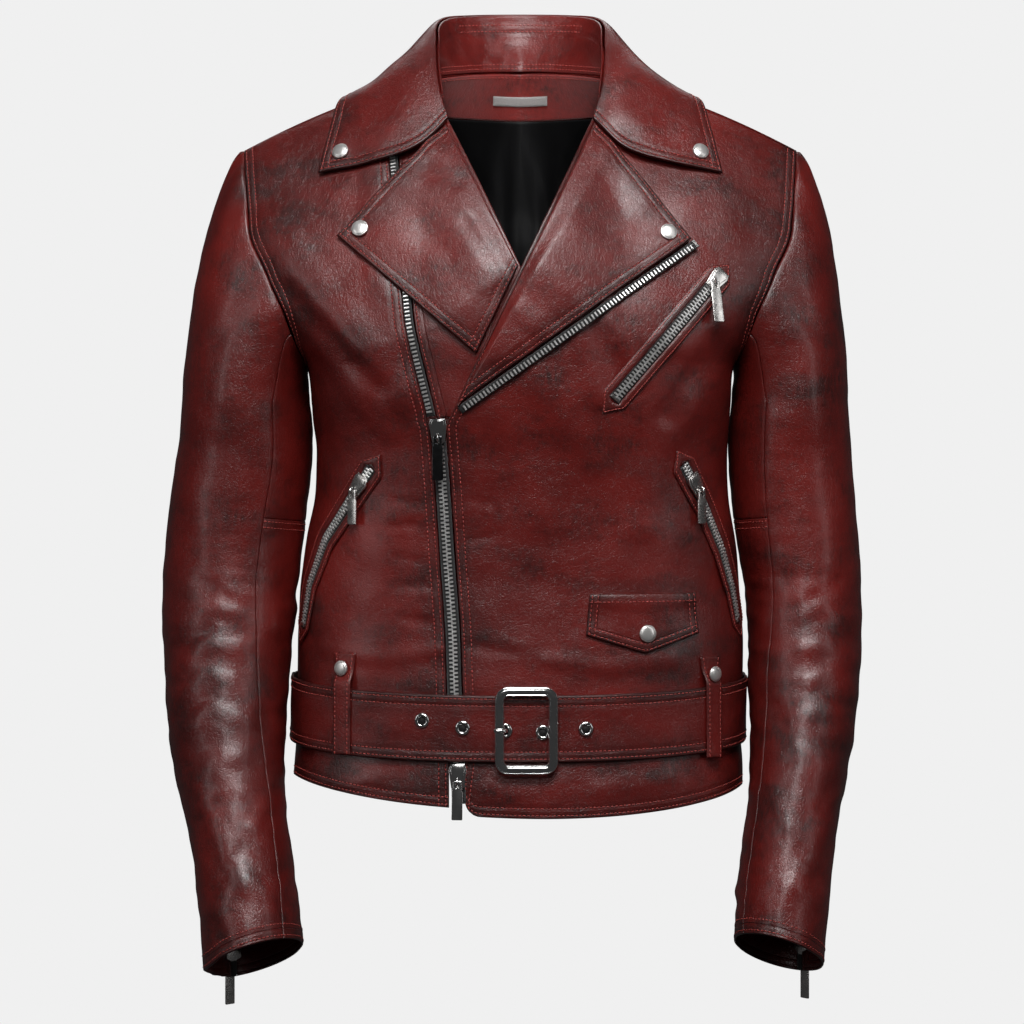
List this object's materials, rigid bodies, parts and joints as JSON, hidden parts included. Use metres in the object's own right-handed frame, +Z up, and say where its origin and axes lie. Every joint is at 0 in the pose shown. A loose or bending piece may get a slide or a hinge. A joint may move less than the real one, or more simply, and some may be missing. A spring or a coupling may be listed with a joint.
{
  "type": "leather jacket",
  "caption": "Asymmetric leather riding jacket with notched lapels, a belt and slanted zips, hollow and filled out as if worn.",
  "frame": {"origin": "middle of the neck opening, 18 mm below the neck ends of the shoulder seams, where the wearer's shoulders carry the jacket", "axes": "+Z up, -Y the way the jacket faces, +X the wearer's left"},
  "size_m": [0.581, 0.2671, 0.8258],
  "materials": {
    "hide": "glossy oxblood, rubbed black at edges and seams",
    "lining": "black satin",
    "label": "plain woven",
    "zip": "metal teeth on black tape",
    "steel": "polished"
  },
  "bodies": {
    "jacket": {"back_neck_facing": "hide", "back_panel": "hide", "belt": "hide", "belt_loop_back": "hide", "belt_loop_left": "hide", "belt_loop_right": "hide", "buckle_frame": "steel", "buckle_prong": "steel", "chest_welt": "hide", "coin_flap": "hide", "collar_fall": "hide", "collar_stand": "hide", "eyelet_1": "steel", "eyelet_2": "steel", "eyelet_3": "steel", "eyelet_4": "steel", "forearm_under_left": "hide", "forearm_under_right": "hide", "front_left": "hide", "front_right": "hide", "hand_welt_left": "hide", "hand_welt_right": "hide", "label": "label", "lapel_left": "hide", "lapel_right": "hide", "lining_back": "lining", "sleeve_under_left": "hide", "sleeve_under_right": "hide", "sleeve_upper_left": "hide", "sleeve_upper_right": "hide", "slider_chest": "steel", "slider_cuff_left": "steel", "slider_cuff_right": "steel", "slider_hand_left": "steel", "slider_hand_right": "steel", "slider_main": "steel", "slider_main_foot": "steel", "snap_collar_left": "steel", "snap_collar_right": "steel", "snap_flap": "steel", "snap_lapel_left": "steel", "snap_lapel_right": "steel", "snap_loop_left": "steel", "snap_loop_right": "steel", "underlap_right": "hide", "zip_chest": "zip", "zip_cuff_left": "zip", "zip_cuff_right": "zip", "zip_hand_left": "zip", "zip_hand_right": "zip", "zip_main_closed": "zip", "zip_main_left": "zip", "zip_main_right": "zip"},
    "pull_main": {"pull_main": "steel"},
    "pull_main_foot": {"pull_main_foot": "steel"},
    "pull_chest": {"pull_chest": "steel"},
    "pull_hand_right": {"pull_hand_right": "steel"},
    "pull_hand_left": {"pull_hand_left": "steel"},
    "pull_cuff_right": {"pull_cuff_right": "steel"},
    "pull_cuff_left": {"pull_cuff_left": "steel"}
  },
  "joints": [
    {"name": "pull_main_swing", "type": "hinge", "parent": "jacket", "child": "pull_main", "pos_m": [-0.06619, -0.11216, -0.27986], "axis": [-0.9882, 0.1529, 0], "range_deg": [0, 90]},
    {"name": "pull_main_foot_swing", "type": "hinge", "parent": "jacket", "child": "pull_main_foot", "pos_m": [-0.05048, -0.11726, -0.5542], "axis": [-0.9969, 0.0787, 0], "range_deg": [0, 90]},
    {"name": "pull_chest_swing", "type": "hinge", "parent": "jacket", "child": "pull_chest", "pos_m": [0.15645, -0.08893, -0.15517], "axis": [-0.9394, -0.3429, 0], "range_deg": [0, 120]},
    {"name": "pull_hand_right_swing", "type": "hinge", "parent": "jacket", "child": "pull_hand_right", "pos_m": [-0.136, -0.08402, -0.32336], "axis": [-0.8232, 0.5677, 0], "range_deg": [0, 120]},
    {"name": "pull_hand_left_swing", "type": "hinge", "parent": "jacket", "child": "pull_hand_left", "pos_m": [0.1465, -0.07761, -0.32304], "axis": [-0.7646, -0.6446, 0], "range_deg": [0, 120]},
    {"name": "pull_cuff_right_swing", "type": "hinge", "parent": "jacket", "child": "pull_cuff_right", "pos_m": [-0.23712, -0.0548, -0.71284], "axis": [0.783, 0.6221, 0], "range_deg": [0, 90]},
    {"name": "pull_cuff_left_swing", "type": "hinge", "parent": "jacket", "child": "pull_cuff_left", "pos_m": [0.23165, -0.05633, -0.70762], "axis": [0.6705, -0.7419, 0], "range_deg": [0, 90]}
  ]
}
